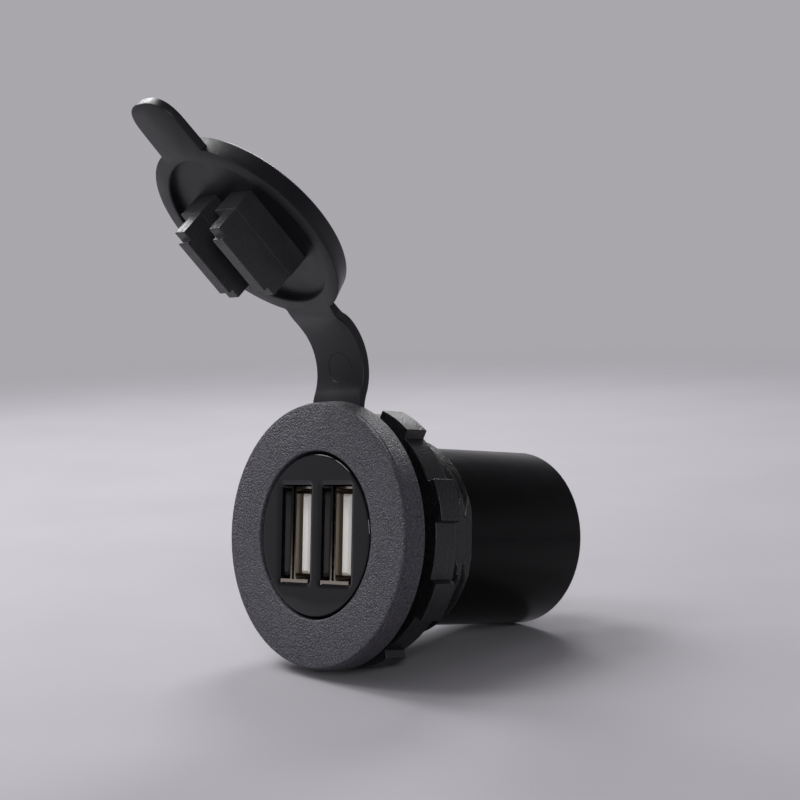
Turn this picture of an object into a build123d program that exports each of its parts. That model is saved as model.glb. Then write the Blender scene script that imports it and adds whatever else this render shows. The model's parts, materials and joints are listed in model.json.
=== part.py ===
from build123d import *
from math import atan2, cos, degrees, radians, sin
import os

# Panel-mount double USB power socket, in millimetres.
# The socket's axis is Y, its front looks towards -Y and its dust cover hangs from the top, +Z.
# The origin is the centre of the flange's back face, which is where the panel lies.

# Flange, threaded sleeve and barrel, moulded as one body
flange_radius = 18.5
flange_draft = 0.3
flange_thickness = 3.4
flange_lip = 0.55
flange_lip_step = 0.1
flange_edge = 0.3
bore_radius = 11.5
mouth_chamfer = 0.25
sleeve_radius = 14.1
sleeve_length = 14.2
sleeve_lead = 0.7
sleeve_flat = 13.2
barrel_radius = 12.7
barrel_wall = 1.2
barrel_end = 37.2
barrel_edge = 0.3
throat_fit = 0.1

# Front insert with the two port openings
insert_gap = 0.4
insert_recess = 0.15
insert_edge = 0.35
insert_plate = 4.0
insert_rim = 1.2
insert_fit = 0.1
skirt_wall = 1.0
port_pitch = 8.4
port_rise = 0.15
opening_width = 6.17
opening_height = 13.5
opening_depth = 2.5
opening_corner = 0.5

# USB-A receptacles
shell_inner_width = 5.12
shell_inner_height = 12.5
shell_wall = 0.3
shell_length = 12.56
shell_corner = 0.6
shell_fit = 0.05
leaf_width = 2.2
leaf_length = 5.5
leaf_slot = 0.3
leaf_pitch = 5.6
leaf_start = 2.6
leg_width = 1.5
leg_reach = 2.4
lip_setback = 0.1
lip_drop = 0.15
tongue_depth = 3.0
tongue_thickness = 1.84
tongue_width = 11.1
tongue_gap = 0.45
tongue_nose = 0.4
block_length = 3.6
block_fit = 0.05
contact_width = 1.0
contact_thickness = 0.3
contact_proud = 0.1
contact_places = (-3.5, -1.0, 1.0, 3.5)
contact_setback = 0.6
pin_width = 0.7

# Circuit boards and the parts on them
board_thickness = 1.6
board_fit = 0.2
hole_fit = 0.1
converter_level = -2.2
converter_tongue = 0.6
part_margin = 1.5
part_divide = 0.5
inductor_height = 6.0
inductor_flange = 1.0
winding_recess = 0.5
winding_depth = 1.7
capacitor_gap = 1.25
capacitor_height = 7.7
capacitor_base = 0.6
chip_side = -5.2
chip_size = (3.9, 4.9, 1.5)
chip_lead = (0.9, 0.4, 0.2)
chip_lead_pitch = 1.27
chip_leads_a_side = 4
chip_standoff = 0.1
diode_side = 4.6
diode_size = (4.3, 1.6, 1.5)

# Rear cover and spade terminals
rear_cover_thickness = 2.4
rear_cover_shoulder = 0.6
rear_cover_fit = 0.1
terminal_pitch = 10.0
terminal_width = 6.3
terminal_thickness = 0.8
terminal_reach = 6.0
terminal_inner = 4.0
terminal_nose = 1.0
terminal_hole = 0.9
terminal_hole_setback = 3.6
terminal_pin = 1.5
shroud_wall = 1.0
shroud_height = 0.8
slot_fit = 0.05

# Retaining nut
nut_start = 3.3
nut_length = 4.3
nut_band_radius = 16.5
nut_lug_radius = 18.0
nut_running_fit = 0.05
lug_count = 8
lug_width = 6.1
lug_angle = 17.5

# Rubber dust cover: a collar behind the flange, a strap and a cap with two plugs
rubber_thickness = 1.25
collar_radius = 16.2
collar_fit = 0.15
strap_width = 9.7
strap_straight_top = 17.2
strap_apex = (1.4, 22.0)
strap_arc_radius = 9.07
strap_arc = 66.4
strap_split = 22.9
strap_gap = 0.3
neck_clearance = 0.55
neck_shift = 0.46
cover_open = 131.05
cover_twist = 3.2
cap_gap = 0.2
cap_lip_radius = 15.0
cap_top_radius = 14.35
cap_height = 3.0
cap_edge = 0.5
cap_lip_width = 2.3
cap_recess = 1.5
neck_reach = 0.6
tab_reach = 8.0
tab_width = 9.8
tab_corner = 4.2
tab_thickness = 1.1
plug_width = 4.9
plug_height = 12.2
plug_base = 2.4
plug_length = 6.7
blade_start = 0.05
blade_thickness = 2.35
blade_height = 12.0
blade_notch = (0.65, 1.4)

# Places along the axis that follow from the sizes above
face_y = -flange_thickness
insert_y = face_y + insert_recess
insert_back_y = insert_y + insert_plate
shell_y = insert_y + opening_depth
shell_back_y = shell_y + shell_length
usb_board_y = shell_back_y + block_fit
converter_y = usb_board_y + board_thickness
rear_cover_y = barrel_end - rear_cover_thickness
tongue_y = insert_y + tongue_depth
block_y = shell_back_y - block_length
shell_width = shell_inner_width + 2 * shell_wall
shell_height = shell_inner_height + 2 * shell_wall
port_places = {"left": -port_pitch / 2, "right": port_pitch / 2}
tongue_left = -shell_inner_width / 2 + tongue_gap
tongue_right = tongue_left + tongue_thickness
lip_y = face_y - cap_gap

# The insert's bore and the barrel's own bore meet in a throat at the end of the sleeve
barrel_bore = barrel_radius - barrel_wall
throat_radius = min(bore_radius, barrel_bore)
throat_start_y = converter_y + throat_fit
throat_end_y = sleeve_length + barrel_wall


def room_beside(level):
    """How far a part may reach to the side at a level inside the throat."""
    return (throat_radius ** 2 - level ** 2) ** 0.5 - part_margin


# Layout of the converter board, between the ports' pins and the terminals
board_under = converter_level - board_thickness
board_half = ((throat_radius - board_fit) ** 2 - board_under ** 2) ** 0.5
row_start = shell_back_y + leg_reach + hole_fit
row_end = rear_cover_y - terminal_inner
row_middle = (row_start + row_end) / 2
inductor_room = room_beside(converter_level + inductor_height)
inductor_radius = (inductor_room - part_divide) / 2
winding_radius = inductor_radius - winding_recess
post_radius = winding_radius - winding_depth
inductor_place = (-part_divide - inductor_radius, row_middle)
capacitor_room = room_beside(converter_level + capacitor_height)
capacitor_lengthways = (row_end - row_start - 3 * capacitor_gap) / 4
capacitor_across = (capacitor_room - 2 * part_divide) / 2
capacitor_radius = min(capacitor_lengthways, capacitor_across)
capacitor_side = capacitor_room - capacitor_radius
input_capacitor_place = (capacitor_side, row_end - capacitor_gap - capacitor_radius)
output_capacitor_place = (capacitor_side, row_start + capacitor_gap + capacitor_radius)


def along(sketch, start, end):
    """A sketch in X and Z, carried along the axis from start to end."""
    return extrude(Plane.XZ.offset(-start) * sketch, amount=start - end)


def lathe(points):
    """A closed outline of (radius, place on the axis) turned about the axis."""
    return revolve(make_face(Polyline(*points, close=True)), Axis.Y)


def block(x0, x1, y0, y1, z0, z1):
    """A box between two corners."""
    return Pos((x0 + x1) / 2, (y0 + y1) / 2, (z0 + z1) / 2) * Box(x1 - x0, y1 - y0, z1 - z0)


def drum(radius, bottom, top, place):
    """An upright cylinder on a board."""
    x, y = place
    return Pos(x, y, (bottom + top) / 2) * Cylinder(radius, top - bottom)


def turned(angle, radius, centre):
    """The point of (Y, Z) at that angle and distance from a centre."""
    return centre[0] + radius * cos(radians(angle)), centre[1] + radius * sin(radians(angle))


def socket_body():
    """Flange, flatted sleeve and barrel, bored for the insert and for the boards behind it."""
    front = flange_radius - flange_draft
    seat = barrel_bore + rear_cover_shoulder
    shape = lathe([
        (0, face_y),
        (front - flange_lip_step - flange_edge, face_y),
        (front - flange_lip_step, face_y + flange_edge),
        (front - flange_lip_step, face_y + flange_lip),
        (front, face_y + flange_lip + flange_lip_step),
        (flange_radius, 0),
        (sleeve_radius, 0),
        (sleeve_radius, sleeve_length - sleeve_lead),
        (sleeve_radius - sleeve_lead, sleeve_length),
        (barrel_radius, sleeve_length),
        (barrel_radius, barrel_end - barrel_edge),
        (barrel_radius - barrel_edge, barrel_end),
        (0, barrel_end),
    ])
    shape -= lathe([
        (0, face_y),
        (bore_radius + mouth_chamfer, face_y),
        (bore_radius, face_y + mouth_chamfer),
        (bore_radius, throat_start_y),
        (0, throat_start_y),
    ])
    shape -= along(Circle(throat_radius), insert_y, throat_end_y + barrel_wall)
    shape -= lathe([
        (0, throat_end_y),
        (barrel_bore, throat_end_y),
        (barrel_bore, rear_cover_y),
        (seat, rear_cover_y),
        (seat, barrel_end),
        (0, barrel_end),
    ])
    beyond = flange_radius
    for side in (-1, 1):
        near, far = sorted((side * sleeve_flat, side * beyond))
        shape -= block(near, far, 0, sleeve_length, -beyond, beyond)
    return shape


def face_insert():
    """Glossy faceplate with a skirt that holds the receptacles and the first board."""
    rim = bore_radius - insert_gap
    outer = bore_radius - insert_fit
    inner = outer - skirt_wall
    shape = lathe([
        (0, insert_y),
        (rim - insert_edge, insert_y),
        (rim, insert_y + insert_edge),
        (rim, insert_y + insert_rim),
        (outer, insert_y + insert_rim),
        (outer, usb_board_y),
        (inner, usb_board_y),
        (inner, insert_back_y),
        (0, insert_back_y),
    ])
    for x in port_places.values():
        centre = Pos(x, port_rise)
        opening = centre * RectangleRounded(opening_width, opening_height, opening_corner)
        seat = centre * Rectangle(shell_width + 2 * shell_fit, shell_height + 2 * shell_fit)
        shape -= along(opening, insert_y - insert_edge, shell_y)
        shape -= along(seat, shell_y - insert_edge, insert_back_y + insert_edge)
    return shape


def usb_shell(x):
    """Folded metal shell with sprung leaves, two board legs and a lip under the opening."""
    centre = Pos(x, port_rise)
    outer = centre * RectangleRounded(shell_width, shell_height, shell_corner)
    inner = centre * RectangleRounded(
        shell_inner_width, shell_inner_height, shell_corner - shell_wall
    )
    shape = along(outer - inner, shell_y, shell_back_y)
    start = shell_y + leaf_start
    reach = shell_width
    for rise in (-leaf_pitch / 2, leaf_pitch / 2):
        low = port_rise + rise - leaf_width / 2
        high = low + leaf_width
        edges = block(x - reach, x + reach, start, start + leaf_length, low - leaf_slot, high + leaf_slot)
        edges -= block(x - reach, x + reach, start + leaf_slot, start + leaf_length, low, high)
        shape -= edges
    for side in (-1, 1):
        z = port_rise + side * (shell_height - shell_wall) / 2
        shape += block(
            x - leg_width / 2, x + leg_width / 2, shell_back_y - shell_wall,
            shell_back_y + leg_reach, z - shell_wall / 2, z + shell_wall / 2,
        )
    low = port_rise - shell_height / 2
    return shape + block(
        x - shell_width / 2, x + shell_width / 2, insert_y + lip_setback, shell_y,
        low - lip_drop, low + shell_wall,
    )


def contact_strips(x, grow=0.0):
    """Four spring strips on the tongue, each with its pin through the board."""
    right = x + tongue_right + contact_proud + grow
    left = right - contact_thickness - 2 * grow
    half = contact_width / 2 + grow
    pin = pin_width / 2 + grow
    strips = []
    for rise in contact_places:
        z = port_rise + rise
        strip = block(left, right, tongue_y + contact_setback - grow, shell_back_y + grow, z - half, z + half)
        strips.append(strip + block(left, right, block_y, shell_back_y + leg_reach, z - pin, z + pin))
    return strips


def usb_tongue(x):
    """White tongue and the block behind it, with a groove for each contact."""
    half = tongue_width / 2
    shape = block(
        x + tongue_left, x + tongue_right, tongue_y, block_y, port_rise - half, port_rise + half
    )
    nose = shape.edges().group_by(Axis.Y)[0]
    shape = chamfer(nose, tongue_nose)
    width = shell_inner_width - 2 * block_fit
    height = shell_inner_height - 2 * block_fit
    corner = shell_corner - shell_wall - block_fit
    seat = Pos(x, port_rise) * RectangleRounded(width, height, corner)
    shape += along(seat, block_y, shell_back_y)
    for strip in contact_strips(x):
        shape -= strip
    return shape


def usb_board():
    """Round board behind the receptacles, drilled for their pins and legs."""
    shape = along(Circle(bore_radius - board_fit), usb_board_y, usb_board_y + board_thickness)
    for x in port_places.values():
        for strip in contact_strips(x, hole_fit):
            shape -= strip
        for side in (-1, 1):
            z = port_rise + side * (shell_height - shell_wall) / 2
            wide = leg_width / 2 + hole_fit
            deep = shell_wall / 2 + hole_fit
            shape -= block(x - wide, x + wide, shell_back_y, converter_y + hole_fit, z - deep, z + deep)
    return shape


def terminal_pin_box(side, grow=0.0):
    """The pin that holds a terminal's foot in the board."""
    x = side * terminal_pitch / 2
    half = terminal_thickness / 2 + grow
    back = rear_cover_y - terminal_inner / 2
    return block(
        x - half, x + half, back - terminal_pin / 2 - grow, back + terminal_pin / 2 + grow,
        board_under - grow, converter_level + grow,
    )


def converter_board():
    """Board along the barrel, notched for the ports' pins and seated in the rear cover."""
    shape = block(
        -board_half, board_half, converter_y, rear_cover_y + converter_tongue, board_under, converter_level
    )
    for side in (-1, 1):
        near, far = sorted((side * pin_width, side * board_half))
        shape -= block(near, far, converter_y, row_start, board_under, converter_level)
        shape -= terminal_pin_box(side, slot_fit)
    return shape


def inductor_core():
    """Ferrite drum: two flanges on a post."""
    low, high = converter_level, converter_level + inductor_height
    shape = drum(inductor_radius, low, low + inductor_flange, inductor_place)
    shape += drum(post_radius, low, high, inductor_place)
    shape += drum(inductor_radius, high - inductor_flange, high, inductor_place)
    return shape


def inductor_winding():
    """Copper winding on the drum's post."""
    low = converter_level + inductor_flange
    high = converter_level + inductor_height - inductor_flange
    shape = drum(winding_radius, low, high, inductor_place)
    return shape - drum(post_radius, low, high, inductor_place)


def capacitor(place):
    """Electrolytic can on its moulded base."""
    low = converter_level
    can = drum(capacitor_radius, low + capacitor_base, low + capacitor_height, place)
    x, y = place
    foot = capacitor_radius
    return can + block(x - foot, x + foot, y - foot, y + foot, low, low + capacitor_base)


def regulator_chip():
    """Small-outline chip under the board, with its leads."""
    x, y = chip_side, row_middle
    wide, long, tall = chip_size
    reach, lead, thick = chip_lead
    top = board_under - chip_standoff
    shape = block(x - wide / 2, x + wide / 2, y - long / 2, y + long / 2, top - tall, top)
    for place in range(chip_leads_a_side):
        along_y = y + (place - (chip_leads_a_side - 1) / 2) * chip_lead_pitch
        for side in (-1, 1):
            near, far = sorted((x + side * wide / 2, x + side * (wide / 2 + reach)))
            shape += block(near, far, along_y - lead / 2, along_y + lead / 2, top - thick, board_under)
    return shape


def rectifier_diode():
    """Flat rectifier under the board."""
    wide, long, tall = diode_size
    x, y = diode_side, row_middle
    return block(x - wide / 2, x + wide / 2, y - long / 2, y + long / 2, board_under - tall, board_under)


def terminal_blade(side):
    """Spade terminal that stands on the board and leaves through the rear cover."""
    x = side * terminal_pitch / 2
    half = terminal_thickness / 2
    tip = barrel_end + terminal_reach
    root = rear_cover_y - terminal_inner
    low, high = converter_level, converter_level + terminal_width
    outline = Polyline(
        (root, low), (tip - terminal_nose, low), (tip, low + terminal_nose),
        (tip, high - terminal_nose), (tip - terminal_nose, high), (root, high), close=True,
    )
    flat = make_face(outline) - Pos(tip - terminal_hole_setback, (low + high) / 2) * Circle(terminal_hole)
    shape = extrude(Plane.YZ.offset(x - half) * flat, amount=terminal_thickness)
    return shape + terminal_pin_box(side)


def rear_cover():
    """Disc that closes the barrel, with a shrouded slot for each terminal."""
    radius = barrel_bore + rear_cover_shoulder - rear_cover_fit
    shape = along(Circle(radius), rear_cover_y, barrel_end)
    low, high = converter_level, converter_level + terminal_width
    half = terminal_thickness / 2
    end = barrel_end + shroud_height
    for side in (-1, 1):
        x = side * terminal_pitch / 2
        shape += block(
            x - half - shroud_wall, x + half + shroud_wall, barrel_end, end,
            low - shroud_wall, high + shroud_wall,
        )
        shape -= block(
            x - half - slot_fit, x + half + slot_fit, rear_cover_y, end, low - slot_fit, high + slot_fit
        )
    groove = board_half + slot_fit
    shape -= block(
        -groove, groove, rear_cover_y, rear_cover_y + converter_tongue + slot_fit,
        board_under - slot_fit, converter_level + slot_fit,
    )
    return shape


def retaining_nut():
    """Round nut with lugs round its rim for the fingers."""
    grips = Sketch()
    for place in range(lug_count):
        angle = lug_angle + 360 / lug_count * place
        grips += Rot(0, 0, angle) * Pos(nut_lug_radius / 2, 0) * Rectangle(nut_lug_radius, lug_width)
    outline = (Circle(nut_lug_radius) & grips) + Circle(nut_band_radius)
    outline -= Circle(sleeve_radius + nut_running_fit)
    return along(outline, nut_start, nut_start + nut_length)


def strap_outline():
    """Outline in (Y, Z) of the strap from the collar to the cap's neck, as a band of rubber."""
    half = rubber_thickness / 2
    run = strap_apex[1] - strap_straight_top
    sweep = 2 * degrees(atan2(strap_apex[0] - half, run))
    radius = run / (2 * sin(radians(sweep)))
    first = (half + radius, strap_straight_top)
    second = (strap_apex[0] - radius, strap_apex[1])
    third = (strap_apex[0] - strap_arc_radius, strap_apex[1])
    last = strap_arc - degrees(neck_clearance / strap_arc_radius)
    foot = collar_radius - rubber_thickness

    def side(offset):
        """One face of the band, offset from its middle line; positive is backwards."""
        bends = [
            (first, 180.0, 180.0 - sweep, radius - offset),
            (second, -sweep, 0.0, radius + offset),
            (third, 0.0, last, strap_arc_radius + offset),
        ]
        edges = [Line((half + offset, foot), (half + offset, strap_straight_top))]
        for centre, begin, end, size in bends:
            places = [turned(angle, size, centre) for angle in (begin, (begin + end) / 2, end)]
            edges.append(ThreePointArc(*places))
        return edges

    front, back = side(-half), side(half)
    ends = [Line(front[-1] @ 1, back[-1] @ 1), Line(front[0] @ 0, back[0] @ 0)]
    return make_face(front + back + ends)


def strap_band(low, high):
    """The band across the strap's width, kept between two levels."""
    shape = extrude(Plane.YZ * strap_outline(), amount=strap_width / 2, both=True)
    reach = flange_radius
    return shape & block(-reach, reach, -reach, reach, low, high)


def dust_cover_collar():
    """Ring clamped behind the flange, with the foot of the strap."""
    ring = Circle(collar_radius) - Circle(sleeve_radius + collar_fit)
    shape = along(ring, 0, rubber_thickness)
    return shape + strap_band(0, strap_split)


def dust_cover_strap():
    """The strap above its bend."""
    return strap_band(strap_split + strap_gap, 2 * flange_radius)


def cap_shut():
    """Cap as it lies on the flange when closed: lip, top, neck, tab and plugs."""
    top_y = lip_y - cap_height
    recess_radius = cap_lip_radius - cap_lip_width
    floor_y = lip_y - cap_recess
    shape = lathe([
        (0, top_y),
        (cap_top_radius - cap_edge, top_y),
        (cap_top_radius, top_y + cap_edge),
        (cap_lip_radius, lip_y),
        (recess_radius, lip_y),
        (recess_radius, floor_y),
        (0, floor_y),
    ])
    shape = Pos(0, 0, port_rise) * shape
    inside = recess_radius + cap_lip_width / 2
    neck_half = strap_width / 2
    shape += block(
        -neck_half, neck_half, lip_y - rubber_thickness, lip_y,
        port_rise + inside, port_rise + cap_lip_radius + neck_reach,
    )
    tab_length = cap_lip_radius + tab_reach - inside
    tab = Pos(0, port_rise - inside - tab_length / 2) * Rectangle(tab_width, tab_length)
    tab = fillet(tab.vertices().group_by(Axis.Y)[0], tab_corner)
    shape += along(tab, lip_y - tab_thickness, lip_y)
    for x in port_places.values():
        shape += plug(x, floor_y)
    return shape


def plug(x, floor_y):
    """Plug for one port: a base that fills the opening and a blade beside the tongue."""
    half = plug_height / 2
    tip_y = lip_y + plug_length
    notch_deep, notch_high = blade_notch
    shape = block(
        x - plug_width / 2, x + plug_width / 2, floor_y, lip_y + plug_base,
        port_rise - half, port_rise + half,
    )
    half = blade_height / 2
    blade = block(
        x + blade_start, x + blade_start + blade_thickness, lip_y, tip_y,
        port_rise - half, port_rise + half,
    )
    for side in (-1, 1):
        near, far = sorted((port_rise + side * half, port_rise + side * (half - notch_high)))
        blade -= block(x, x + plug_width, tip_y - notch_deep, tip_y, near, far)
    return shape + blade


def dust_cover_cap():
    """The cap hanging open from the end of the strap."""
    half = rubber_thickness / 2
    neck_shut = (0, lip_y - half, port_rise + cap_lip_radius + neck_reach)
    centre = (strap_apex[0] - strap_arc_radius, strap_apex[1])
    neck_open = turned(strap_arc, strap_arc_radius, centre)
    twist = radians(cover_twist)
    shape = cap_shut().rotate(Axis(neck_shut, (cos(twist), -sin(twist), 0)), -cover_open)
    move = (neck_shift, neck_open[0] - neck_shut[1], neck_open[1] - neck_shut[2])
    return Pos(*move) * shape


pieces = {
    "socket_body": socket_body(),
    "face_insert": face_insert(),
    "usb_board": usb_board(),
    "converter_board": converter_board(),
    "inductor_core": inductor_core(),
    "inductor_winding": inductor_winding(),
    "input_capacitor": capacitor(input_capacitor_place),
    "output_capacitor": capacitor(output_capacitor_place),
    "regulator_chip": regulator_chip(),
    "rectifier_diode": rectifier_diode(),
    "rear_cover": rear_cover(),
    "terminal_positive": terminal_blade(1),
    "terminal_negative": terminal_blade(-1),
    "retaining_nut": retaining_nut(),
    "dust_cover_collar": dust_cover_collar(),
    "dust_cover_strap": dust_cover_strap(),
    "dust_cover_cap": dust_cover_cap(),
}
for name, place in port_places.items():
    pieces["usb_shell_" + name] = usb_shell(place)
    pieces["usb_tongue_" + name] = usb_tongue(place)
    pieces["usb_contacts_" + name] = Compound(children=contact_strips(place))

os.makedirs("parts", exist_ok=True)
for name, piece in pieces.items():
    export_step(piece, "parts/" + name + ".step")
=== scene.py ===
import bmesh
import bpy
import json
from math import asin, atan2, ceil, cos, degrees, floor, pi, radians, sin, tan
from mathutils import Matrix, Vector


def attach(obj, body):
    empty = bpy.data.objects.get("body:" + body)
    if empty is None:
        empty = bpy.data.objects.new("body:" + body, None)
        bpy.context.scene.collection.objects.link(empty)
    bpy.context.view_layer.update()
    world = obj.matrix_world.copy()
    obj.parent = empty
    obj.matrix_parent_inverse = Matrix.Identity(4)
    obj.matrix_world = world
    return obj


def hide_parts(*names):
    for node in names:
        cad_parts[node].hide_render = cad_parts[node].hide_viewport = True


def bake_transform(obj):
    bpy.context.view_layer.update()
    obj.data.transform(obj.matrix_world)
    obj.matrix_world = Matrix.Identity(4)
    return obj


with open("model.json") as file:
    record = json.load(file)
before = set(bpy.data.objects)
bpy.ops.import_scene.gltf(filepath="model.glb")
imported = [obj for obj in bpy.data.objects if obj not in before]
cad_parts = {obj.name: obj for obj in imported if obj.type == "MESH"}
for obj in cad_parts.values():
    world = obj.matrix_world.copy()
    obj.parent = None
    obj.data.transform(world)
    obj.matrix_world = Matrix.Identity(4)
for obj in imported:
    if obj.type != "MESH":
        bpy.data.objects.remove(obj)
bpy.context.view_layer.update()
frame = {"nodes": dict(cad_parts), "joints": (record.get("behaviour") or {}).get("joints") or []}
joints = {joint["name"]: joint for joint in frame["joints"]}

# Sizes are in millimetres until a mesh is finished, and angles in degrees.
MM = 0.001
TINY = 1e-6
OVERLAP = 0.02
UP = 90
DOWN = 270

# Fineness: points round a turned outline, degrees between points, points of a rounded corner
AROUND = 192
CIRCLE_STEP = 3
CURVE_STEP = 2
CORNER_STEP = 15
BODY_STEPS = 5
RIM_STEPS = 6
TAB_STEPS = 10

# Flange and barrel
FLANGE_RADIUS = 18.5
FLANGE_THICKNESS = 3.4
FLANGE_LIP = 0.55
FLANGE_LIP_INSET = 0.4
FLANGE_LIP_ROUND = 0.35
FLANGE_STEP = 0.12
FLANGE_STEP_INSET = 0.28
FLANGE_STEP_ROUND = 0.04
FLANGE_BACK_ROUND = 0.16
FLANGE_UNDER_THREAD = 0.4
BORE_RADIUS = 11.5
BORE_WALL = 6.0
BORE_ROUND = 0.28
BARREL_RADIUS = 12.7
BARREL_END = 37.2
BARREL_ROUND = 0.4
REAR_COVER_DEPTH = 2.4
REAR_COVER_RADIUS = 12.05
REAR_COVER_ROUND = 0.15
BODY_SMOOTH = 38
BARREL_MATERIAL = 1
SLEEVE_MATERIAL = 2

# Threaded sleeve, which starts just inside the flange's back
SLEEVE_START = -0.02
SLEEVE_LENGTH = 14.2
SLEEVE_LEAD = 0.7
SLEEVE_FLAT = 12.98
THREAD_CREST = 14.08
THREAD_DEPTH = 0.88
THREAD_PITCH = 1.5
THREAD_CREST_SHARE = 0.22
THREAD_ROOT_SHARE = 0.14
THREAD_AROUND = 288
THREAD_ROWS_PER_MM = 10

# Insert and ports
INSERT_RADIUS = 11.1
INSERT_FRONT = -3.25
INSERT_EDGE = 0.3
INSERT_RIM = 1.0
INSERT_WELD = 0.002
INSERT_SMOOTH = 40
FLARE_REACH = 1.05
FLARE_DEPTH = 0.3
FLARE_POWER = 3
FLARE_STEPS = 6
PORT_PITCH = 8.4
PORT_RISE = 0.15
PORT_WIDTH = 6.17
PORT_HEIGHT = 13.5
PORT_CORNER = 0.5
PORT_DEPTH = 2.5

# Nut
NUT_START = 3.3
NUT_LENGTH = 3.7
NUT_BAND = 17.1
NUT_LUG = 18.3
NUT_BORE = 14.16
NUT_EDGE = 0.14
LUGS = 8
LUG_STEP = 360 / LUGS
LUG_WIDTH = 5.8
LUG_ANGLE = 16.4
BEVEL_SMOOTH = 35
BEVEL_STEPS = 3

# Rubber ring and strap of the dust cover
RUBBER = 1.25
COLLAR_INNER = 14.3
COLLAR_OUTER = 16.2
COLLAR_START = 0.01
COLLAR_EDGE = 0.12
STRAP_WIDTH = 9.7
STRAP_ROUND = 0.22
STRAP_FOOT = 16.0
STRAP_STRAIGHT = 17.2
STRAP_APEX = (1.4, 22.0)
STRAP_ARC_RADIUS = 9.07
STRAP_ARC = 58.0
STRAP_MIDDLE = 25.6
STRAP_TUCK = 1.6
STRAP_PULL = 0.4
STRAP_EASE_STEPS = 10
STRAP_TWIST_STEPS = 15
STRAP_SMOOTH = 50
MARK_RADIUS = 2.25
MARK_LEVEL = 23.4
MARK_AROUND = 64
# Outline of the mark's low ring, as (away from its radius, proud of the strap)
MARK_OUTLINE = ((0.13, -0.04), (0.05, 0.05), (-0.05, 0.05), (-0.13, -0.04))

# Cap and tab
LIP_LEVEL = -3.6
CAP_LIP = 14.98
CAP_TOP = 14.33
CAP_TOP_ROUND = 0.45
CAP_TOP_RIM = 2.0
CAP_HEIGHT = 3.0
CAP_EDGE = 0.18
CAP_EDGE_SHARE = 0.3
CAP_SMOOTH = 40
CAP_RECESS_RADIUS = 12.7
CAP_RECESS = 1.5
RECESS_AROUND = 96
# Wall of the recess from its mouth down, as (inwards from its radius, depth)
RECESS_WALL = ((-0.15, 0.0), (0.0, 0.15), (0.05, 1.0), (0.2, 1.35), (0.6, 1.5))
NECK_REACH = 0.6
TAB_REACH = 7.6
TAB_WIDTH = 9.8
TAB_TIP_WIDTH = 9.2
TAB_CORNER = 4.2
TAB_THICKNESS = 1.1

# Plugs of the cap
PLUG_WIDTH = 4.9
PLUG_HEIGHT = 12.2
PLUG_BASE = 2.4
PLUG_LENGTH = 6.7
PLUG_SUNK = 0.1
PLUG_EDGE = 0.12
BLADE_START = 0.05
BLADE_THICKNESS = 2.35
BLADE_HEIGHT = 12.0
BLADE_NOTCH = (0.65, 1.4)
BLADE_SUNK = 0.3

# Finishes: a noise has a scale per millimetre, a detail and sometimes a stretch, a tint
# goes between two shares of the colour, and roughness strays by an amount or a share.
NOISE_RANGE = (0.3, 0.7)
TINT_RANGE = (0.35, 0.65)
FINE_DETAIL = 3
GRAIN_BROAD = (0.35, 2)
GRAIN_TINT = (0.3, 1.9)
GRAIN_ROUGH = (-0.03, 0.04)
POLISH_HAZE = (0.5, 3)
POLISH_WIPES = (2.2, 4, (1, 0.25, 1))
POLISH_TINT = (1.0, 1.3)
POLISH_ROUGH = (0.9, 1.15)
RUBBER_LINES = (5.0, 2, (1, 0.06, 1))
RUBBER_HAZE = (0.3, 3)
RUBBER_GRAIN = (7.0, 2)
RUBBER_GRAIN_HEIGHT = 0.006
RUBBER_LINE_HEIGHT = 0.03
RUBBER_TINT = (1.0, 1.2)
RUBBER_ROUGH = (-0.04, 0.05)
RUBBER_GLOSS = 0.28
METAL_LINES = (3.0, 4)
METAL_LINE_HEIGHT = 0.001
METAL_TINT = (0.93, 1.0)
METAL_ROUGH = (0.8, 1.3)
SPECKLE_ROUGH = (-0.05, 0.05)
SPECKLE_CONTRAST = 0.2
DRAWN = (1, 0.1, 1)
WOUND = (0.1, 0.1, 2)

# Camera, as worked out from the photograph
CAMERA_PLACE = (206.40, -181.43, 2.19)
CAMERA_RIGHT = (0.68513, 0.72820, 0.01809)
CAMERA_UP = (0.03168, -0.05460, 0.99801)
CAMERA_BACK = (0.72773, -0.68319, -0.06047)
CAMERA_CLIP = (0.01, 20)
FOCAL_PIXELS = 1991.3
PHOTO_PIXELS = 800
SENSOR = 36.0

# Soft light of the room, backdrop and floor
ROOM_LIGHT_FROM = (-0.55, -0.50, 0.67)
ROOM_DARK = (0.08, 0.08, 0.09)
ROOM_LIGHT = (0.70, 0.69, 0.73)
BACKDROP = (0.40, 0.385, 0.415)
BACKDROP_ABOVE = (0.12, 0.12, 0.13)
BACKDROP_LOW = 0.12
BACKDROP_HIGH = 0.45
FLOOR_COLOUR = (0.31, 0.30, 0.32)
FLOOR_ROUGH = 0.85
FLOOR_GLOSS = 0.2
FLOOR_NOISE = (0.03, 2)
FLOOR_TINT = (0.98, 1.02)
FLOOR_FADE = 260.0
FLOOR_END = 430.0


def turn(joint):
    """The matrix, in millimetres, of a hinge turned to its upper limit."""
    place = Vector(joint["pos_m"]) / MM
    spin = Matrix.Rotation(radians(joint["range_deg"][1]), 4, Vector(joint["axis"]))
    return Matrix.Translation(place) @ spin @ Matrix.Translation(-place)


CLOSING = turn(joints["strap_bend"]) @ turn(joints["neck_bend"])
OPENING = CLOSING.inverted()


# Outlines

def arc(centre, radius, start, end, step):
    """Points of an arc in a plane, from one angle to another."""
    count = max(2, ceil(abs(end - start) / step))
    angles = [radians(start + (end - start) * i / count) for i in range(count + 1)]
    return [(centre[0] + radius * cos(a), centre[1] + radius * sin(a)) for a in angles]


def circle(radius, step):
    """A circle round the axis as a closed outline."""
    return arc((0, 0), radius, 0, 360, step)[:-1]


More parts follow.
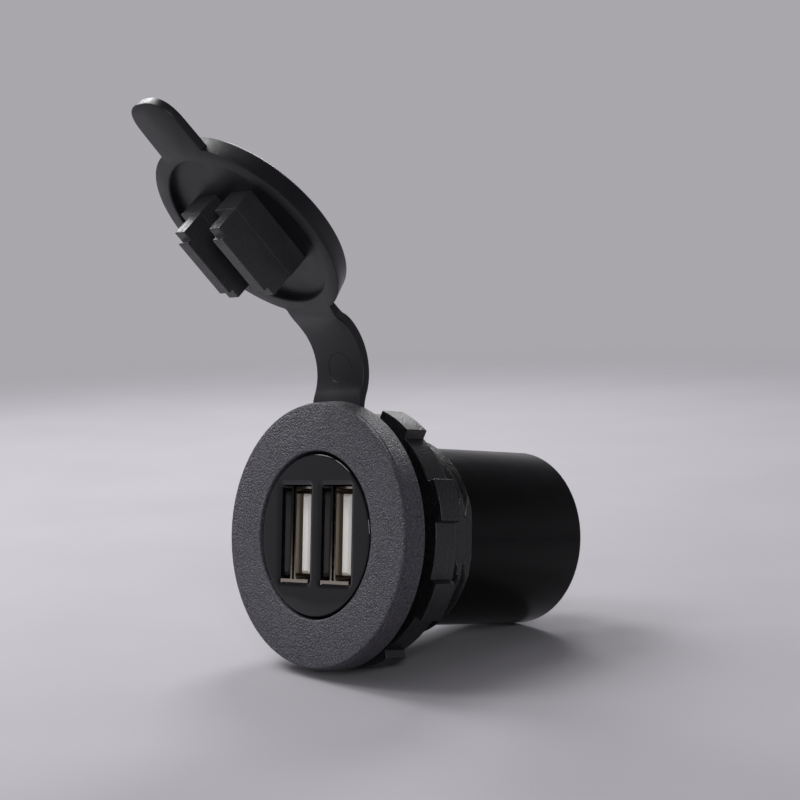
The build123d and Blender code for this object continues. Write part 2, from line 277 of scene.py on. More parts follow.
def rounded(corners, steps):
    """A line through (x, y, radius) corners, with each corner between its ends rounded."""
    line = []
    for i, (x, y, radius) in enumerate(corners):
        if radius <= 0 or i in (0, len(corners) - 1):
            line.append((x, y))
            continue
        before, here, after = (Vector(corners[k][:2]) for k in (i - 1, i, i + 1))
        into, out = (before - here).normalized(), (after - here).normalized()
        reach = radius / max(TINY, abs(tan(into.angle(out) / 2)))
        start, end = here + into * reach, here + out * reach
        for step in range(steps + 1):
            t = step / steps
            line.append(tuple(start * (1 - t) ** 2 + here * 2 * t * (1 - t) + end * t ** 2))
    return line


def rounded_rectangle(x, z, width, height, radius):
    """A closed outline of a rectangle with round corners."""
    line = []
    for sx, sz, start in ((1, 1, 0), (-1, 1, 90), (-1, -1, 180), (1, -1, 270)):
        centre = (x + sx * (width / 2 - radius), z + sz * (height / 2 - radius))
        line += arc(centre, radius, start, start + 90, CORNER_STEP)
    return line


def offset_outline(outline, inset):
    """The outline moved inwards along its corner bisectors."""
    moved = []
    count = len(outline)
    for i in range(count):
        before, here, after = (Vector(outline[(i + k) % count]) for k in (-1, 0, 1))
        along = ((here - before).normalized() + (after - here).normalized()).normalized()
        normal = Vector((-along.y, along.x))
        moved.append(tuple(here + normal * inset))
    return moved


# Meshes

def flat_ring(bm, outline, y):
    """Points of an (X, Z) outline at a place along Y."""
    return [bm.verts.new((x, y, z)) for x, z in outline]


def turned_ring(bm, radius, y, segments, centre=(0, 0)):
    """Points round the axis at a place along Y, or one point where the radius is nothing."""
    if radius < TINY:
        return [bm.verts.new((centre[0], y, centre[1]))]
    angles = [2 * pi * i / segments for i in range(segments)]
    return [
        bm.verts.new((centre[0] + radius * cos(a), y, centre[1] + radius * sin(a))) for a in angles
    ]


def join_rings(bm, rings):
    """Faces between each ring of points and the next, any of which may be a single point."""
    for first, second in zip(rings, rings[1:]):
        count = max(len(first), len(second))
        for i in range(count):
            j = (i + 1) % count
            a, b = first[i % len(first)], first[j % len(first)]
            c, d = second[j % len(second)], second[i % len(second)]
            corners = list(dict.fromkeys((a, b, c, d)))
            if len(corners) > 2:
                bm.faces.new(corners)


def lathe(bm, profile, segments=AROUND, centre=(0, 0)):
    """Adds an outline of (radius, place along Y) turned about the axis, and returns its rings."""
    rings = [turned_ring(bm, radius, y, segments, centre) for radius, y in profile]
    join_rings(bm, rings)
    return rings


def fill(bm, outlines, y):
    """Adds a flat face across Y, with an outer outline and holes, and returns their edges."""
    edges = []
    for outline in outlines:
        ring = flat_ring(bm, outline, y)
        edges += [bm.edges.new((ring[i - 1], ring[i])) for i in range(len(ring))]
    bmesh.ops.triangle_fill(bm, use_beauty=True, edges=edges)
    return edges


def plate(bm, outlines, near, far):
    """Adds a flat plate across Y, with an outer outline of (X, Z) and any holes after it."""
    for a, b in zip(fill(bm, outlines, near), fill(bm, outlines, far)):
        bm.faces.new((a.verts[0], a.verts[1], b.verts[1], b.verts[0]))


def cuboid(bm, low, high):
    """Adds a box between two corners."""
    middle = Matrix.Translation([(a + b) / 2 for a, b in zip(low, high)])
    size = Matrix.Diagonal((*[b - a for a, b in zip(low, high)], 1))
    bmesh.ops.create_cube(bm, size=1, matrix=middle @ size)


def set_material(bm, first, index):
    """Gives the faces from a number on the piece's material with that index."""
    bm.faces.ensure_lookup_table()
    for face in bm.faces[first:]:
        face.material_index = index


def add_object(name, data):
    """A new object in the scene."""
    thing = bpy.data.objects.new(name, data)
    bpy.context.scene.collection.objects.link(thing)
    return thing


def add_mesh(name, bm):
    """A new mesh object from a finished bmesh."""
    mesh = bpy.data.meshes.new(name)
    bm.to_mesh(mesh)
    bm.free()
    return add_object(name, mesh)


def finish_mesh(name, bm, body, nodes, material, smooth, bevel=0.0, place=None):
    """Turns a mesh in millimetres into a piece, which may ride on a body and stand for nodes."""
    if place is not None:
        bm.transform(place)
    bm.transform(Matrix.Scale(MM, 4))
    bmesh.ops.recalc_face_normals(bm, faces=bm.faces)
    piece = add_mesh(name, bm)
    mesh = piece.data
    mesh.polygons.foreach_set("use_smooth", [True] * len(mesh.polygons))
    mesh.materials.append(material)
    if bevel:
        edge = piece.modifiers.new("edge", "BEVEL")
        edge.width = bevel * MM
        edge.segments = BEVEL_STEPS
        edge.limit_method = "ANGLE"
        edge.angle_limit = radians(smooth)
        edge.harden_normals = True
    else:
        mesh.set_sharp_from_angle(angle=radians(smooth))
    if body:
        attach(piece, body)
    if nodes:
        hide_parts(*nodes)
    return piece


# Materials

def shader(name, colour, rough, metal=0.0):
    """A new material, its node tree and its shader."""
    material = bpy.data.materials.new(name)
    material.use_nodes = True
    tree = material.node_tree
    surface = tree.nodes["Principled BSDF"]
    surface.inputs["Base Color"].default_value = (*colour, 1)
    surface.inputs["Roughness"].default_value = rough
    surface.inputs["Metallic"].default_value = metal
    return material, tree, surface


def noise(tree, scale, detail, stretch=(1, 1, 1), turned=None):
    """A noise texture in millimetres, stretched along the axes of the piece, turned or not."""
    place = tree.nodes.new("ShaderNodeTexCoord").outputs["Object"]
    if turned is not None:
        rotate = tree.nodes.new("ShaderNodeMapping")
        rotate.inputs["Rotation"].default_value = turned.to_euler()
        tree.links.new(place, rotate.inputs["Vector"])
        place = rotate.outputs["Vector"]
    mapping = tree.nodes.new("ShaderNodeMapping")
    mapping.inputs["Scale"].default_value = [value / MM for value in stretch]
    texture = tree.nodes.new("ShaderNodeTexNoise")
    texture.inputs["Scale"].default_value = scale
    texture.inputs["Detail"].default_value = detail
    tree.links.new(place, mapping.inputs["Vector"])
    tree.links.new(mapping.outputs["Vector"], texture.inputs["Vector"])
    return texture.outputs["Fac"]


def map_range(tree, source, start, end):
    """A node that maps a value from one (low, high) range onto another."""
    node = tree.nodes.new("ShaderNodeMapRange")
    for name, value in zip(("From Min", "From Max", "To Min", "To Max"), (*start, *end)):
        node.inputs[name].default_value = value
    tree.links.new(source, node.inputs["Value"])
    return node


def roughen(tree, surface, source, ends):
    """Varies the roughness between two values by a noise value."""
    result = map_range(tree, source, NOISE_RANGE, ends).outputs["Result"]
    tree.links.new(result, surface.inputs["Roughness"])


def colour_ramp(tree, source, places, colours):
    """Maps a value onto colours between two places of a ramp."""
    ramp = tree.nodes.new("ShaderNodeValToRGB")
    for element, place, colour in zip(ramp.color_ramp.elements, places, colours):
        element.position = place
        element.color = (*colour, 1)
    tree.links.new(source, ramp.inputs["Fac"])
    return ramp.outputs["Color"]


def tint(tree, surface, source, colour, shares):
    """Varies the base colour between two shares of a colour by a noise value."""
    colours = [[c * share for c in colour] for share in shares]
    result = colour_ramp(tree, source, TINT_RANGE, colours)
    tree.links.new(result, surface.inputs["Base Color"])


def bump(tree, surface, source, height, under=None):
    """Adds a bump of that height in millimetres, over another one where it is given."""
    node = tree.nodes.new("ShaderNodeBump")
    node.inputs["Distance"].default_value = height * MM
    node.inputs["Strength"].default_value = 1.0
    tree.links.new(source, node.inputs["Height"])
    if under is not None:
        tree.links.new(under, node.inputs["Normal"])
    tree.links.new(node.outputs["Normal"], surface.inputs["Normal"])
    return node.outputs["Normal"]


def grained_plastic(name, colour, rough, grain, height):
    """Black moulded plastic with a spark-eroded grain."""
    material, tree, surface = shader(name, colour, rough)
    fine = noise(tree, grain, FINE_DETAIL)
    tint(tree, surface, fine, colour, GRAIN_TINT)
    roughen(tree, surface, noise(tree, *GRAIN_BROAD), [rough + change for change in GRAIN_ROUGH])
    bump(tree, surface, fine, height)
    return material


def polished_plastic(name, colour, rough, scratch, gloss):
    """Polished black plastic with faint wipe marks."""
    material, tree, surface = shader(name, colour, rough)
    surface.inputs["Specular IOR Level"].default_value = gloss
    haze = noise(tree, *POLISH_HAZE)
    tint(tree, surface, haze, colour, POLISH_TINT)
    roughen(tree, surface, haze, [rough * share for share in POLISH_ROUGH])
    bump(tree, surface, noise(tree, *POLISH_WIPES), scratch)
    return material


def brushed_rubber(name, colour, rough, turned=None, draw=RUBBER_LINE_HEIGHT):
    """Satin moulded rubber with the fine draw lines of its mould."""
    material, tree, surface = shader(name, colour, rough)
    surface.inputs["Specular IOR Level"].default_value = RUBBER_GLOSS
    haze = noise(tree, *RUBBER_HAZE)
    tint(tree, surface, haze, colour, RUBBER_TINT)
    roughen(tree, surface, haze, [rough + change for change in RUBBER_ROUGH])
    grain = bump(tree, surface, noise(tree, *RUBBER_GRAIN), RUBBER_GRAIN_HEIGHT)
    bump(tree, surface, noise(tree, *RUBBER_LINES, turned), draw, under=grain)
    return material


def metal_finish(name, colour, rough, stretch):
    """Plated sheet metal with drawn lines."""
    material, tree, surface = shader(name, colour, rough, metal=1.0)
    lines = noise(tree, *METAL_LINES, stretch)
    tint(tree, surface, lines, colour, METAL_TINT)
    roughen(tree, surface, lines, [rough * share for share in METAL_ROUGH])
    bump(tree, surface, lines, METAL_LINE_HEIGHT)
    return material


def speckled(name, colour, rough, grain, height, contrast=SPECKLE_CONTRAST):
    """Matte material with a fine speckle."""
    material, tree, surface = shader(name, colour, rough)
    fine = noise(tree, grain, FINE_DETAIL)
    tint(tree, surface, fine, colour, (1 - contrast, 1.0))
    roughen(tree, surface, fine, [rough + change for change in SPECKLE_ROUGH])
    bump(tree, surface, fine, height)
    return material


flange_grain = grained_plastic(
    "flange_grain", colour=(0.040, 0.038, 0.048), rough=0.40, grain=4.2, height=0.34
)
barrel_gloss = polished_plastic(
    "barrel_gloss", colour=(0.0016, 0.0016, 0.0019), rough=0.20, scratch=0.001, gloss=0.12
)
insert_gloss = polished_plastic(
    "insert_gloss", colour=(0.0030, 0.0028, 0.0038), rough=0.07, scratch=0.0, gloss=0.42
)
nut_grain = grained_plastic(
    "nut_grain", colour=(0.006, 0.006, 0.007), rough=0.34, grain=3.5, height=0.08
)
cover_rubber = brushed_rubber("cover_rubber", colour=(0.008, 0.0078, 0.010), rough=0.36)
cap_rubber = brushed_rubber("cap_rubber", colour=(0.006, 0.0058, 0.008), rough=0.38, turned=CLOSING)
plug_rubber = brushed_rubber(
    "plug_rubber", colour=(0.026, 0.025, 0.027), rough=0.30, turned=CLOSING, draw=0.10
)
port_steel = metal_finish("port_steel", colour=(0.46, 0.41, 0.35), rough=0.15, stretch=DRAWN)
contact_gold = metal_finish("contact_gold", colour=(0.86, 0.66, 0.34), rough=0.25, stretch=DRAWN)
tongue_white = speckled(
    "tongue_white", colour=(0.93, 0.91, 0.86), rough=0.40, grain=3.0, height=0.004, contrast=0.05
)
terminal_tin = metal_finish("terminal_tin", colour=(0.75, 0.70, 0.58), rough=0.28, stretch=DRAWN)
rear_grain = grained_plastic(
    "rear_grain", colour=(0.020, 0.020, 0.022), rough=0.55, grain=5.0, height=0.02
)
board_mask = speckled("board_mask", colour=(0.02, 0.13, 0.05), rough=0.35, grain=1.5, height=0.01)
ferrite_dark = speckled(
    "ferrite_dark", colour=(0.06, 0.06, 0.065), rough=0.75, grain=4.0, height=0.02
)
winding_copper = metal_finish("winding_copper", colour=(0.62, 0.27, 0.12), rough=0.3, stretch=WOUND)
can_aluminium = metal_finish("can_aluminium", colour=(0.80, 0.80, 0.82), rough=0.3, stretch=WOUND)
chip_epoxy = speckled("chip_epoxy", colour=(0.02, 0.02, 0.02), rough=0.55, grain=6.0, height=0.01)

NODE_FINISHES = {
    "usb_shell_left": port_steel,
    "usb_shell_right": port_steel,
    "usb_tongue_left": tongue_white,
    "usb_tongue_right": tongue_white,
    "usb_contacts_left": contact_gold,
    "usb_contacts_right": contact_gold,
    "usb_board": board_mask,
    "converter_board": board_mask,
    "inductor_core": ferrite_dark,
    "inductor_winding": winding_copper,
    "input_capacitor": can_aluminium,
    "output_capacitor": can_aluminium,
    "regulator_chip": chip_epoxy,
    "rectifier_diode": chip_epoxy,
    "rear_cover": rear_grain,
    "terminal_positive": terminal_tin,
    "terminal_negative": terminal_tin,
}


def finish_nodes():
    """Gives each node that is carried over from the CAD a material of its own."""
    for node, finish in NODE_FINISHES.items():
        frame["nodes"][node].data.materials.clear()
        frame["nodes"][node].data.materials.append(finish)


# Socket body

def thread_height(phase):
    """Height of the thread between root and crest, from 0 to 1, at a phase of its pitch."""
    phase = abs(phase % 1.0 - 0.5) * 2
    low, high = THREAD_ROOT_SHARE, 1 - THREAD_CREST_SHARE
    return min(1.0, max(0.0, (phase - low) / (high - low)))


def sleeve_radius(angle, y, height):
    """Radius of the threaded sleeve, which ends in a lead and has a flat on either side."""
    radius = THREAD_CREST - THREAD_DEPTH * (1 - height)
    radius = min(radius, THREAD_CREST - max(0.0, y - SLEEVE_LENGTH + SLEEVE_LEAD))
    across = abs(cos(angle))
    return SLEEVE_FLAT / across if radius * across > SLEEVE_FLAT else radius


def add_sleeve(bm):
    """Adds the sleeve with its helical thread, closed by a ring against the barrel."""
    rows = int(SLEEVE_LENGTH * THREAD_ROWS_PER_MM)
    rings = []
    for row in range(rows + 1):
        y = SLEEVE_START + SLEEVE_LENGTH * row / rows
        ring = []
        for i in range(THREAD_AROUND):
            angle = 2 * pi * i / THREAD_AROUND
            radius = sleeve_radius(angle, y, thread_height(y / THREAD_PITCH - i / THREAD_AROUND))
            ring.append(bm.verts.new((radius * cos(angle), y, radius * sin(angle))))
        rings.append(ring)
    rings.append(turned_ring(bm, BARREL_RADIUS, y, THREAD_AROUND))
    join_rings(bm, rings)


def make_socket_shell():
    """Flange, bore and barrel as turned outlines, with the threaded sleeve between them."""
    bm = bmesh.new()
    front = -FLANGE_THICKNESS
    lip = front + FLANGE_LIP
    lathe(bm, rounded([
        (BORE_RADIUS, front + BORE_WALL, 0),
        (BORE_RADIUS, front, BORE_ROUND),
        (FLANGE_RADIUS - FLANGE_LIP_INSET, front, FLANGE_LIP_ROUND),
        (FLANGE_RADIUS - FLANGE_LIP_INSET, lip, FLANGE_STEP_ROUND),
        (FLANGE_RADIUS - FLANGE_STEP_INSET, lip + FLANGE_STEP, FLANGE_STEP_ROUND),
        (FLANGE_RADIUS, SLEEVE_START, FLANGE_BACK_ROUND),
        (THREAD_CREST - THREAD_DEPTH - FLANGE_UNDER_THREAD, SLEEVE_START, 0),
    ], BODY_STEPS))
    barrel_first = len(bm.faces)
    lathe(bm, rounded([
        (BARREL_RADIUS, SLEEVE_LENGTH + SLEEVE_START, 0),
        (BARREL_RADIUS, BARREL_END, BARREL_ROUND),
        (REAR_COVER_RADIUS, BARREL_END, REAR_COVER_ROUND),
        (REAR_COVER_RADIUS, BARREL_END - REAR_COVER_DEPTH, 0),
    ], BODY_STEPS))
    set_material(bm, barrel_first, BARREL_MATERIAL)
    sleeve_first = len(bm.faces)
    add_sleeve(bm)
    set_material(bm, sleeve_first, SLEEVE_MATERIAL)
    piece = finish_mesh(
        "socket_shell", bm, "socket", ["socket_body"], flange_grain, BODY_SMOOTH
    )
    piece.data.materials.append(barrel_gloss)
    piece.data.materials.append(nut_grain)


# Faceplate

def port_outline(x, reach):
    """Outline of a port's opening, widened by a reach on every side."""
    width, height = PORT_WIDTH + 2 * reach, PORT_HEIGHT + 2 * reach
    return rounded_rectangle(x, PORT_RISE, width, height, PORT_CORNER + reach)


def make_insert():
    """Polished faceplate whose surface eases into its two port openings."""
    bm = bmesh.new()
    back = INSERT_FRONT + PORT_DEPTH
    rim = rounded([
        (INSERT_RADIUS - INSERT_RIM, INSERT_FRONT, 0),
        (INSERT_RADIUS, INSERT_FRONT, INSERT_EDGE),
        (INSERT_RADIUS, back, 0),
    ], RIM_STEPS)[1:]
    lathe(bm, rim)
    front_outlines = [circle(rim[0][0], 360 / AROUND)]
    back_outlines = [circle(INSERT_RADIUS, 360 / AROUND)]
    reaches = [FLARE_REACH * i / FLARE_STEPS for i in range(FLARE_STEPS, -1, -1)]
    flare = [(reach, FLARE_DEPTH * (1 - reach / FLARE_REACH) ** FLARE_POWER) for reach in reaches]
    for x in (-PORT_PITCH / 2, PORT_PITCH / 2):
        join_rings(bm, [
            flat_ring(bm, port_outline(x, reach), INSERT_FRONT + depth)
            for reach, depth in flare + [(0.0, PORT_DEPTH)]
        ])
        front_outlines.append(port_outline(x, FLARE_REACH))
        back_outlines.append(port_outline(x, 0.0))
    fill(bm, front_outlines, INSERT_FRONT)
    fill(bm, back_outlines, back)
    bmesh.ops.remove_doubles(bm, verts=bm.verts, dist=INSERT_WELD)
    finish_mesh(
        "port_insert", bm, "socket", ["face_insert"], insert_gloss, INSERT_SMOOTH
    )


# Nut

def lug_half(radius):
    """Half the angle that a lug's width takes up at a radius."""
    return degrees(asin(LUG_WIDTH / 2 / radius))


def make_nut():
    """Round nut with lugs round its rim."""
    bm = bmesh.new()
    outline = []
    tip, root = lug_half(NUT_LUG), lug_half(NUT_BAND)
    for lug in range(LUGS):
        middle = LUG_ANGLE + LUG_STEP * lug
        outline += arc((0, 0), NUT_LUG, middle - tip, middle + tip, CIRCLE_STEP)
        outline += arc((0, 0), NUT_BAND, middle + root, middle + LUG_STEP - root, CIRCLE_STEP)
    plate(bm, [outline, circle(NUT_BORE, CIRCLE_STEP)], NUT_START, NUT_START + NUT_LENGTH)
    finish_mesh(
        "lugged_nut", bm, "nut", ["retaining_nut"], nut_grain, BEVEL_SMOOTH, NUT_EDGE
    )


# Dust cover

def make_collar():
    """Rubber ring clamped behind the flange."""
    bm = bmesh.new()
    outlines = [circle(radius, CIRCLE_STEP) for radius in (COLLAR_OUTER, COLLAR_INNER)]
    plate(bm, outlines, COLLAR_START, RUBBER)
    finish_mesh(
        "cover_ring", bm, "socket", ["dust_cover_collar"], cover_rubber,
        BEVEL_SMOOTH, COLLAR_EDGE,
    )


def strap_middle():
    """Points along the strap's middle, from its foot through its bend into the open cap."""
    half = RUBBER / 2
    apex_y, apex_z = STRAP_APEX
    run = apex_z - STRAP_STRAIGHT
    sweep = 2 * degrees(atan2(apex_y - half, run))
    radius = run / (2 * sin(radians(sweep)))
    line = [(half, STRAP_FOOT)]
    line += arc((half + radius, STRAP_STRAIGHT), radius, 180, 180 - sweep, CURVE_STEP)
    line += arc((apex_y - radius, apex_z), radius, -sweep, 0, CURVE_STEP)[1:]
    centre = (apex_y - STRAP_ARC_RADIUS, apex_z)
    line += arc(centre, STRAP_ARC_RADIUS, 0, STRAP_ARC, CURVE_STEP)[1:]
    places = [Vector((0, y, z)) for y, z in line]
    neck = OPENING @ Vector((0, LIP_LEVEL - half, PORT_RISE + CAP_LIP + NECK_REACH))
    inside = OPENING @ Vector((0, LIP_LEVEL - half, PORT_RISE + CAP_LIP - STRAP_TUCK))
    start, reach = places[-1], (inside - places[-1]).length
    ahead = (places[-1] - places[-2]).normalized()
    into = (inside - neck).normalized()
    a = start + ahead * reach * STRAP_PULL
    b = inside - into * reach * STRAP_PULL
    for step in range(1, STRAP_EASE_STEPS + 1):
        t = step / STRAP_EASE_STEPS
        places.append(
            start * (1 - t) ** 3 + a * 3 * t * (1 - t) ** 2 + b * 3 * t * t * (1 - t) + inside * t ** 3
        )
    return places


def strap_line():
    """Stations along the strap: place, direction and sideways direction."""
    places = strap_middle()
    last = len(places) - 1
    side_open = OPENING.to_3x3() @ Vector((1, 0, 0))
    stations = []
    for i, place in enumerate(places):
        ahead = (places[min(i + 1, last)] - places[max(i - 1, 0)]).normalized()
        share = max(0.0, (i - last + STRAP_TWIST_STEPS) / STRAP_TWIST_STEPS)
        side = Vector((1, 0, 0)).lerp(side_open, share * share * (3 - 2 * share))
        side = (side - ahead * side.dot(ahead)).normalized()
        stations.append((place, ahead, side))
    return stations


def nearest(stations, level):
    """Number of the station nearest to a height."""
    return min(range(len(stations)), key=lambda i: abs(stations[i][0].z - level))


def sweep_strap(bm, stations):
    """Adds the strap's section, which has round edges, along stations, closed at both ends."""
    section = rounded_rectangle(0, 0, STRAP_WIDTH, RUBBER, STRAP_ROUND)
    rings = []
    for place, ahead, side in stations:
        through = ahead.cross(side)
        rings.append([bm.verts.new(place + side * u + through * v) for u, v in section])
    join_rings(bm, rings)
    bm.faces.new(rings[0])
    bm.faces.new(rings[-1])


def add_mark(bm, stations):
    """Adds the round moulding mark, a low ring on the strap's front."""
    lengths = [0.0]
    for (a, _, _), (b, _, _) in zip(stations, stations[1:]):
        lengths.append(lengths[-1] + (b - a).length)
    middle = lengths[nearest(stations, MARK_LEVEL)]
    rings = []
    for away, proud in MARK_OUTLINE:
        ring = []
        for i in range(MARK_AROUND):
            angle = 2 * pi * i / MARK_AROUND
            target = middle + (MARK_RADIUS + away) * sin(angle)
            k = max(j for j in range(len(lengths) - 1) if lengths[j] <= target)
            t = (target - lengths[k]) / (lengths[k + 1] - lengths[k])
            place = stations[k][0].lerp(stations[k + 1][0], t)
            ahead = stations[k][1].lerp(stations[k + 1][1], t).normalized()
            side = stations[k][2]
            front = ahead.cross(side)
            front *= -1 if front.y > 0 else 1
            offset = side * (MARK_RADIUS + away) * cos(angle) + front * (RUBBER / 2 + proud)
            ring.append(bm.verts.new(place + offset))
        rings.append(ring)
    join_rings(bm, rings)


def make_strap():
    """The strap in two pieces split at its middle: the lower one curves above the flange, the upper one
    runs into the cap's neck.
    """
    stations = strap_line()
    split = nearest(stations, STRAP_MIDDLE)
    lower = bmesh.new()
    sweep_strap(lower, stations[:split + 1])
    add_mark(lower, stations)
    low = finish_mesh("strap_lower", lower, None, None, cover_rubber, STRAP_SMOOTH)
    upper = bmesh.new()
    sweep_strap(upper, stations[split:])
    high = finish_mesh(
        "strap_upper", upper, None, ["dust_cover_strap"], cover_rubber, STRAP_SMOOTH
    )
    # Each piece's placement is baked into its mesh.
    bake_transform(low)
    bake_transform(high)


def cap_wall(depth):
    """Radius of the cap's tapered wall at a depth under its lip."""
    return CAP_LIP - (CAP_LIP - CAP_TOP) * depth / CAP_HEIGHT


def cap_outline(depth):
    """Outline of the cap's lip, neck and tab in (X, Z), at a depth under the lip."""
    radius = cap_wall(depth)
    neck = STRAP_WIDTH / 2
    neck_angle = degrees(asin(neck / radius))
    tab_angle = degrees(asin(TAB_WIDTH / 2 / radius))
    line = arc((0, 0), radius, UP + neck_angle, DOWN - tab_angle, CURVE_STEP)
    tip = -CAP_LIP - TAB_REACH
    root = -radius * cos(radians(tab_angle))
    line += rounded([
        (-TAB_WIDTH / 2, root, 0),
        (-TAB_TIP_WIDTH / 2, tip, TAB_CORNER),
        (TAB_TIP_WIDTH / 2, tip, TAB_CORNER),
        (TAB_WIDTH / 2, root, 0),
    ], TAB_STEPS)[1:-1]
    line += arc((0, 0), radius, DOWN + tab_angle, 360 + UP - neck_angle, CURVE_STEP)
    line += [(neck, CAP_LIP + NECK_REACH), (-neck, CAP_LIP + NECK_REACH)]
    return [(x, z + PORT_RISE) for x, z in line]


def make_cap():
    """Cap with its recess and tab, modelled closed and swung open."""
    bm = bmesh.new()
    centre = (0, PORT_RISE)
    soft = CAP_EDGE * CAP_EDGE_SHARE
    levels = [(0.0, CAP_EDGE), (soft, soft), (CAP_EDGE, 0.0), (TAB_THICKNESS, 0.0)]
    rings = [
        flat_ring(bm, offset_outline(cap_outline(depth), inset), LIP_LEVEL - depth)
        for depth, inset in levels
    ]
    join_rings(bm, rings)
    recess = [(CAP_RECESS_RADIUS - inset, LIP_LEVEL - depth) for inset, depth in RECESS_WALL]
    mouth = lathe(bm, recess + [(0.0, LIP_LEVEL - CAP_RECESS)], RECESS_AROUND, centre)[0]
    lip = [bm.edges.get((ring[i - 1], ring[i])) for ring in (rings[0], mouth) for i in range(len(ring))]
    bmesh.ops.triangle_fill(bm, use_beauty=True, edges=lip)
    bm.faces.new(rings[-1])
    top = LIP_LEVEL - CAP_HEIGHT
    crown = rounded([
        (cap_wall(TAB_THICKNESS) - OVERLAP, LIP_LEVEL - TAB_THICKNESS + OVERLAP, 0),
        (CAP_TOP, top, CAP_TOP_ROUND),
        (CAP_TOP - CAP_TOP_RIM, top, 0),
    ], RIM_STEPS)
    lathe(bm, crown + [(0.0, top)], centre=centre)
    finish_mesh(
        "cover_cap", bm, "cap", ["dust_cover_cap"], cap_rubber, CAP_SMOOTH, place=OPENING
    )


def make_plug(name, x):
    """One plug: its base, and the blade with stepped corners beside the port's tongue."""
    bm = bmesh.new()
    half = PLUG_HEIGHT / 2
    low = (x - PLUG_WIDTH / 2, LIP_LEVEL - CAP_RECESS - PLUG_SUNK, PORT_RISE - half)
    high = (x + PLUG_WIDTH / 2, LIP_LEVEL + PLUG_BASE, PORT_RISE + half)
    cuboid(bm, low, high)
    deep, tall = BLADE_NOTCH
    tip, root = LIP_LEVEL + PLUG_LENGTH, LIP_LEVEL + PLUG_BASE - BLADE_SUNK
    half = BLADE_HEIGHT / 2
    outline = [
        (root, -half), (tip - deep, -half), (tip - deep, tall - half), (tip, tall - half),
        (tip, half - tall), (tip - deep, half - tall), (tip - deep, half), (root, half),
    ]
    sides = []
    for across in (x + BLADE_START, x + BLADE_START + BLADE_THICKNESS):
        sides.append([bm.verts.new((across, y, z + PORT_RISE)) for y, z in outline])
        bm.faces.new(sides[-1])
    join_rings(bm, sides)
    finish_mesh(
        name, bm, "cap", None, plug_rubber, BEVEL_SMOOTH, PLUG_EDGE, place=OPENING
    )


# Floor, camera and lights

def resting():
    """Rotation and place of the ground that two of the nut's lugs and the barrel's end rest on."""
    gap = LUG_ANGLE + LUG_STEP * floor((DOWN - LUG_ANGLE) / LUG_STEP) + LUG_STEP / 2
    lug_drop = NUT_LUG * cos(radians(LUG_STEP / 2 - lug_half(NUT_LUG)))
    nut_end = NUT_START + NUT_LENGTH
    slope = atan2(lug_drop - BARREL_RADIUS, BARREL_END - nut_end)
    rotation = Matrix.Rotation(radians(DOWN - gap), 4, "Y") @ Matrix.Rotation(slope, 4, "X")
    level = -(lug_drop + tan(slope) * nut_end) * cos(slope)
    return rotation @ Matrix.Translation((0, 0, level))


def make_floor(ground):
    """Pale floor that the socket lies on, easing into the backdrop at its far edge."""
    bm = bmesh.new()
    bmesh.ops.create_circle(bm, cap_ends=True, segments=AROUND, radius=FLOOR_END)
    bm.transform(ground)
    bm.transform(Matrix.Scale(MM, 4))
    piece = add_mesh("floor", bm)
    material, tree, surface = shader("floor_paint", FLOOR_COLOUR, FLOOR_ROUGH)
    surface.inputs["Specular IOR Level"].default_value = FLOOR_GLOSS
    tint(tree, surface, noise(tree, *FLOOR_NOISE), FLOOR_COLOUR, FLOOR_TINT)
    place = tree.nodes.new("ShaderNodeTexCoord")
    reach = tree.nodes.new("ShaderNodeVectorMath")
    reach.operation = "LENGTH"
    tree.links.new(place.outputs["Object"], reach.inputs[0])
    fade = (FLOOR_FADE * MM, FLOOR_END * MM)
    ease = map_range(tree, reach.outputs["Value"], fade, (1.0, 0.0))
    ease.interpolation_type = "SMOOTHSTEP"
    tree.links.new(ease.outputs["Result"], surface.inputs["Alpha"])
    piece.data.materials.append(material)


def make_camera():
    """Camera at the photograph's place and angle."""
    data = bpy.data.cameras.new("camera")
    data.sensor_width = SENSOR
    data.lens = FOCAL_PIXELS * SENSOR / PHOTO_PIXELS
    data.clip_start, data.clip_end = CAMERA_CLIP
    camera = add_object("camera", data)
    rows = zip(CAMERA_RIGHT, CAMERA_UP, CAMERA_BACK)
    camera.matrix_world = Matrix.Translation(Vector(CAMERA_PLACE) * MM) @ Matrix(list(rows)).to_4x4()
    bpy.context.scene.camera = camera


def make_light(name, place, target, size, power):
    """A square area light aimed at a point."""
    data = bpy.data.lights.new(name, "AREA")
    data.shape = "SQUARE"
    data.size = size * MM
    data.energy = power
    light = add_object(name, data)
    light.location = Vector(place) * MM
    light.rotation_euler = (Vector(target) - Vector(place)).to_track_quat("-Z", "Y").to_euler()


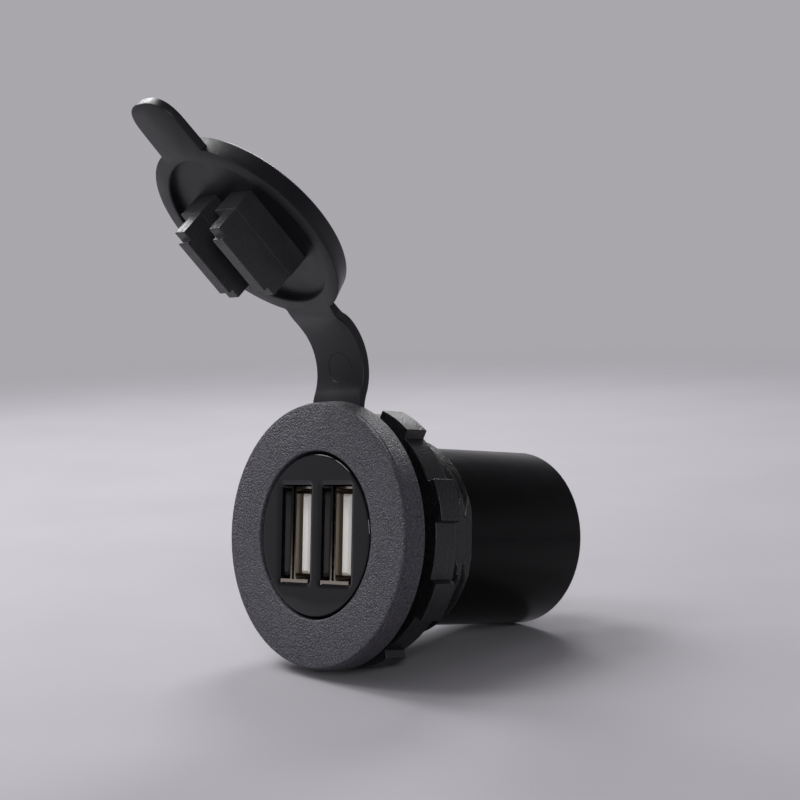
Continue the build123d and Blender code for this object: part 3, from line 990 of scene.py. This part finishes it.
def towards(tree, place, direction, ends, colours):
    """A colour that goes from one to another towards a direction of the room."""
    side = tree.nodes.new("ShaderNodeVectorMath")
    side.operation = "DOT_PRODUCT"
    side.inputs[1].default_value = direction
    tree.links.new(place, side.inputs[0])
    return colour_ramp(tree, side.outputs["Value"], ends, colours)


def make_room(ground):
    """Soft light of the room, and the pale backdrop that the camera and reflections see."""
    world = bpy.data.worlds.new("room")
    world.use_nodes = True
    tree = world.node_tree
    place = tree.nodes.new("ShaderNodeTexCoord").outputs["Generated"]
    light = towards(tree, place, ROOM_LIGHT_FROM, (0.0, 1.0), (ROOM_DARK, ROOM_LIGHT))
    overhead = ground.to_3x3() @ Vector((0, 0, 1))
    ends = (BACKDROP_LOW, BACKDROP_HIGH)
    backdrop = towards(tree, place, overhead, ends, (BACKDROP, BACKDROP_ABOVE))
    rays = tree.nodes.new("ShaderNodeLightPath")
    seen = rays.outputs["Is Camera Ray"]
    for kind in ("Is Glossy Ray", "Is Transmission Ray"):
        both = tree.nodes.new("ShaderNodeMath")
        both.operation = "MAXIMUM"
        tree.links.new(seen, both.inputs[0])
        tree.links.new(rays.outputs[kind], both.inputs[1])
        seen = both.outputs["Value"]
    choose = tree.nodes.new("ShaderNodeMix")
    choose.data_type = "RGBA"
    tree.links.new(light, choose.inputs["A"])
    tree.links.new(backdrop, choose.inputs["B"])
    tree.links.new(seen, choose.inputs["Factor"])
    tree.links.new(choose.outputs["Result"], tree.nodes["Background"].inputs["Color"])
    bpy.context.scene.world = world


finish_nodes()
make_socket_shell()
make_insert()
make_nut()
make_collar()
make_strap()
make_cap()
make_plug("plug_left", -PORT_PITCH / 2)
make_plug("plug_right", PORT_PITCH / 2)

GROUND = resting()
make_floor(GROUND)
make_camera()
make_light("key", place=(-260, -60, 320), target=(0, 0, 5), size=170, power=1.35)
make_light("back", place=(-150, 190, 330), target=(0, 0, 5), size=140, power=0.9)
make_light("fill", place=(-70, -130, 170), target=(0, 0, 12), size=70, power=0.18)
make_light("front", place=(270, -220, 60), target=(0, 0, 5), size=90, power=0.34)
make_room(GROUND)
bpy.context.scene.view_settings.view_transform = "Standard"
